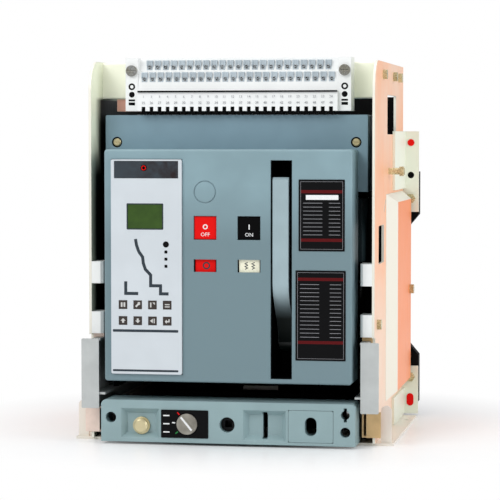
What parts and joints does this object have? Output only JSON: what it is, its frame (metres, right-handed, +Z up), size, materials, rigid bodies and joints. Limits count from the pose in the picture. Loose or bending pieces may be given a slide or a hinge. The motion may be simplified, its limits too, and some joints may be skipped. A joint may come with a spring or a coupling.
{
  "type": "draw-out air circuit breaker",
  "caption": "Draw-out low-voltage air circuit breaker in its cradle, with trip unit, push buttons, charging handle, secondary terminals, shutters, rails and rear connection bars.",
  "frame": {"origin": "on the floor, in the middle of the overall width and of the overall depth", "axes": "+X to the right seen from the front, +Y to the rear towards the connection bars, +Z up"},
  "size_m": [0.375, 0.42, 0.447],
  "materials": {
    "plate_paint": "satin cream passivated sheet",
    "pan_paint": "satin off-white",
    "zinc_sheet": "zinc-plated sheet",
    "gold_zinc": "yellow-passivated zinc",
    "bright_steel": "bright steel",
    "dark_steel": "oiled dark steel",
    "white_plastic": "satin white moulding",
    "red_plastic": "gloss red",
    "base_plastic": "pale blue-grey moulding",
    "hood_plastic": "blue-grey moulding",
    "bezel_plastic": "blue-grey fine texture",
    "trip_plastic": "pale grey moulding",
    "black_plastic": "satin black",
    "base_moulding": "dark glass-filled moulding",
    "brass": "turned brass",
    "copper": "silver-plated and bare copper",
    "grey_plastic": "grey",
    "label": "black printed plate",
    "screen": "dark green display",
    "tinted": "smoked clear",
    "key_membrane": "dark grey-brown keys",
    "shutter_plastic": "red-brown insulating sheet"
  },
  "bodies": {
    "cradle": {"right_side_plate": "plate_paint", "left_side_plate": "plate_paint", "side_pans": "pan_paint", "bottom_pan": "zinc_sheet", "top_crossbeam": "pan_paint", "terminal_block": "white_plastic", "secondary_fingers": "copper", "mounting_brackets": "pan_paint", "red_plugs": "red_plastic", "cradle_bolts": "gold_zinc", "nylon_guides": "white_plastic", "guide_rails": "gold_zinc", "base_front_box": "base_plastic", "position_label": "label", "rear_base": "base_moulding", "busbars": "copper", "contact_fingers": "copper", "finger_cages": "dark_steel"},
    "breaker": {"front_housing": "base_moulding", "rear_housing": "base_moulding", "contact_stabs": "copper", "current_transformers": "black_plastic", "arc_chutes": "hood_plastic", "side_runners": "bright_steel", "hood": "hood_plastic", "hood_screws": "bright_steel", "secondary_plug": "white_plastic", "bezel": "bezel_plastic", "nameplates": "label", "handle_well": "black_plastic", "mechanism_frame": "zinc_sheet", "closing_springs": "dark_steel", "charging_motor": "dark_steel", "release_coils": "black_plastic", "auxiliary_switch": "grey_plastic", "trip_unit_case": "trip_plastic", "trip_unit_panel": "trip_plastic", "keys_and_lamps": "key_membrane", "tinted_window": "tinted", "display_screen": "screen"},
    "racking_carriage": {"racking_carriage": "zinc_sheet"},
    "racking_screw": {"racking_screw": "bright_steel"},
    "position_indicator": {"position_indicator": "black_plastic"},
    "padlock_slide": {"padlock_slide": "grey_plastic"},
    "lock_button": {"lock_button": "brass"},
    "upper_shutter": {"upper_shutter": "shutter_plastic"},
    "lower_shutter": {"lower_shutter": "shutter_plastic"},
    "left_rail": {"left_extension_rail": "zinc_sheet"},
    "right_rail": {"right_extension_rail": "zinc_sheet"},
    "contact_arms": {"contact_arms": "copper"},
    "main_shaft": {"main_shaft": "bright_steel"},
    "drive_links": {"drive_links": "black_plastic"},
    "off_button": {"off_button": "red_plastic"},
    "on_button": {"on_button": "black_plastic"},
    "reset_button": {"reset_button": "red_plastic"},
    "contact_indicator": {"contact_indicator": "red_plastic"},
    "charge_indicator": {"charge_indicator": "white_plastic"},
    "charging_handle": {"charging_handle": "grey_plastic"},
    "charging_shaft": {"charging_shaft": "dark_steel"},
    "spring_crosshead": {"spring_crosshead": "bright_steel"}
  },
  "joints": [
    {"name": "carriage_travel", "type": "slide", "parent": "cradle", "child": "racking_carriage", "axis": [0, -1, 0], "range_m": [0, 0.05]},
    {"name": "screw_turn", "type": "hinge", "parent": "cradle", "child": "racking_screw", "pos_m": [0, -0.203, 0.0249], "axis": [0, -1, 0], "range_deg": [0, 3600]},
    {"name": "indicator_turn", "type": "hinge", "parent": "cradle", "child": "position_indicator", "pos_m": [-0.0468, -0.207, 0.0249], "axis": [0, 1, 0], "range_deg": [0, 90]},
    {"name": "upper_shutter_travel", "type": "slide", "parent": "cradle", "child": "upper_shutter", "axis": [0, 0, 1], "range_m": [0, 0.056]},
    {"name": "lower_shutter_travel", "type": "slide", "parent": "cradle", "child": "lower_shutter", "axis": [0, 0, -1], "range_m": [0, 0.056]},
    {"name": "padlock_pull", "type": "slide", "parent": "cradle", "child": "padlock_slide", "axis": [0, -1, 0], "range_m": [0, 0.03]},
    {"name": "lock_press", "type": "slide", "parent": "cradle", "child": "lock_button", "axis": [0, 1, 0], "range_m": [0, 0.004], "stiffness_N_per_m": 1200, "springref_m": -0.003},
    {"name": "left_rail_pull", "type": "slide", "parent": "cradle", "child": "left_rail", "axis": [0, -1, 0], "range_m": [0, 0.2]},
    {"name": "right_rail_pull", "type": "slide", "parent": "cradle", "child": "right_rail", "axis": [0, -1, 0], "range_m": [0, 0.2]},
    {"name": "breaker_draw", "type": "slide", "parent": "racking_carriage", "child": "breaker", "axis": [0, -1, 0], "range_m": [0, 0.2]},
    {"name": "contact_close", "type": "hinge", "parent": "breaker", "child": "contact_arms", "pos_m": [0, -0.007, 0.12], "axis": [-1, 0, 0], "range_deg": [0, 14], "stiffness_Nm_per_rad": 3, "springref_deg": -14.32},
    {"name": "shaft_turn", "type": "hinge", "parent": "breaker", "child": "main_shaft", "pos_m": [0, -0.091, 0.168], "axis": [-1, 0, 0], "range_deg": [0, 24.97]},
    {"name": "link_turn", "type": "hinge", "parent": "main_shaft", "child": "drive_links", "pos_m": [0, -0.09425, 0.19782], "axis": [1, 0, 0], "range_deg": [0, 30.71]},
    {"name": "contact_flag", "type": "slide", "parent": "breaker", "child": "contact_indicator", "axis": [0, 0, -1], "range_m": [0, 0.016]},
    {"name": "off_press", "type": "slide", "parent": "breaker", "child": "off_button", "axis": [0, 1, 0], "range_m": [0, 0.004], "stiffness_N_per_m": 600, "springref_m": -0.003},
    {"name": "on_press", "type": "slide", "parent": "breaker", "child": "on_button", "axis": [0, 1, 0], "range_m": [0, 0.004], "stiffness_N_per_m": 600, "springref_m": -0.003},
    {"name": "reset_press", "type": "slide", "parent": "breaker", "child": "reset_button", "axis": [0, 1, 0], "range_m": [0, 0.003], "stiffness_N_per_m": 300, "springref_m": -0.002},
    {"name": "handle_pull", "type": "hinge", "parent": "breaker", "child": "charging_handle", "pos_m": [0.0618, -0.147, 0.118], "axis": [1, 0, 0], "range_deg": [0, 75], "stiffness_Nm_per_rad": 0.8, "springref_deg": -20.05},
    {"name": "charging_turn", "type": "hinge", "parent": "breaker", "child": "charging_shaft", "pos_m": [0, -0.147, 0.118], "axis": [1, 0, 0], "continuous": true},
    {"name": "crosshead_travel", "type": "slide", "parent": "breaker", "child": "spring_crosshead", "axis": [0, 0, -1], "range_m": [0, 0.022], "stiffness_N_per_m": 2500, "springref_m": -0.01, "deforming": ["closing_springs"]},
    {"name": "charge_flag", "type": "slide", "parent": "breaker", "child": "charge_indicator", "axis": [0, 0, -1], "range_m": [0, 0.016]}
  ],
  "couplings": [
    {"joint": "screw_turn", "follows": "carriage_travel", "rad_per_m": 1256.6},
    {"joint": "indicator_turn", "follows": "carriage_travel", "rad_per_m": 31.416},
    {"joint": "upper_shutter_travel", "follows": "carriage_travel", "ratio": 1.12},
    {"joint": "lower_shutter_travel", "follows": "carriage_travel", "ratio": 1.12},
    {"joint": "shaft_turn", "follows": "contact_close", "ratio": 1.7831},
    {"joint": "link_turn", "follows": "contact_close", "ratio": 2.1929},
    {"joint": "contact_flag", "follows": "contact_close", "m_per_rad": 0.06548},
    {"joint": "charge_flag", "follows": "crosshead_travel", "ratio": 0.727}
  ]
}
